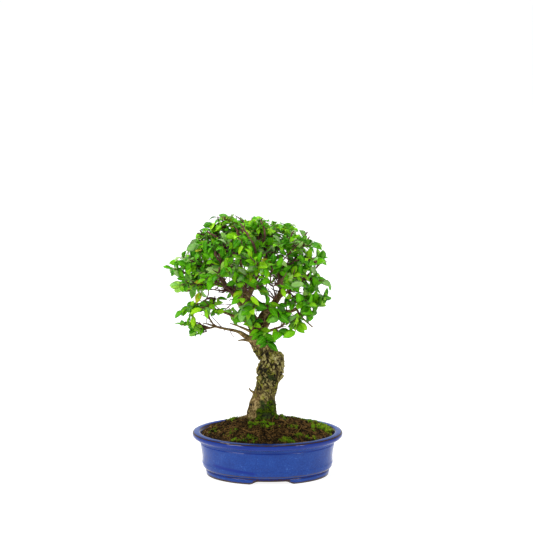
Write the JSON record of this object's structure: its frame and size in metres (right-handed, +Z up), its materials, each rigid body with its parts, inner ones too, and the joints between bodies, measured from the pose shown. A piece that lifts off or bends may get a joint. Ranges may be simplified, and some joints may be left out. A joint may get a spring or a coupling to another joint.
{
  "type": "bonsai tree in pot",
  "caption": "Small broadleaf tree with a curved craggy trunk and a dome of toothed leaves, planted in mounded soil in a shallow oval glazed pot",
  "frame": {"origin": "under the middle of the whole plant's bounding box, on the ground that the pot stands on", "axes": "+Z up, +X to the right along the pot's long side, -Y to the front as seen in the picture"},
  "size_m": [0.2074, 0.1822, 0.3047],
  "materials": {
    "glaze": "glossy blue glaze",
    "screen": "black plastic mesh",
    "soil": "damp brown soil with fine roots",
    "bark": "craggy lichened bark",
    "leaf": "fresh green leaf"
  },
  "bodies": {
    "root": {"pot": "glaze", "drain_screen_left": "screen", "drain_screen_right": "screen", "soil": "soil", "trunk": "bark", "spray_01": "leaf", "spray_02": "leaf", "spray_03": "leaf", "spray_04": "leaf", "spray_05": "leaf", "spray_06": "leaf", "spray_07": "leaf", "spray_08": "leaf", "spray_09": "leaf", "spray_10": "leaf", "spray_11": "leaf", "spray_12": "leaf", "spray_13": "leaf", "spray_14": "leaf", "spray_15": "leaf", "spray_16": "leaf", "spray_17": "leaf", "spray_18": "leaf", "spray_19": "leaf", "spray_20": "leaf", "spray_21": "leaf", "spray_22": "leaf", "spray_23": "leaf", "spray_24": "leaf", "spray_25": "leaf", "spray_26": "leaf", "spray_27": "leaf", "spray_28": "leaf", "spray_29": "leaf", "spray_30": "leaf", "spray_31": "leaf", "spray_32": "leaf", "spray_33": "leaf", "spray_34": "leaf", "spray_35": "leaf", "spray_36": "leaf", "spray_37": "leaf", "spray_38": "leaf", "spray_39": "leaf", "spray_40": "leaf", "spray_41": "leaf", "spray_42": "leaf", "spray_43": "leaf", "spray_44": "leaf", "spray_45": "leaf", "spray_46": "leaf"}
  },
  "joints": []
}
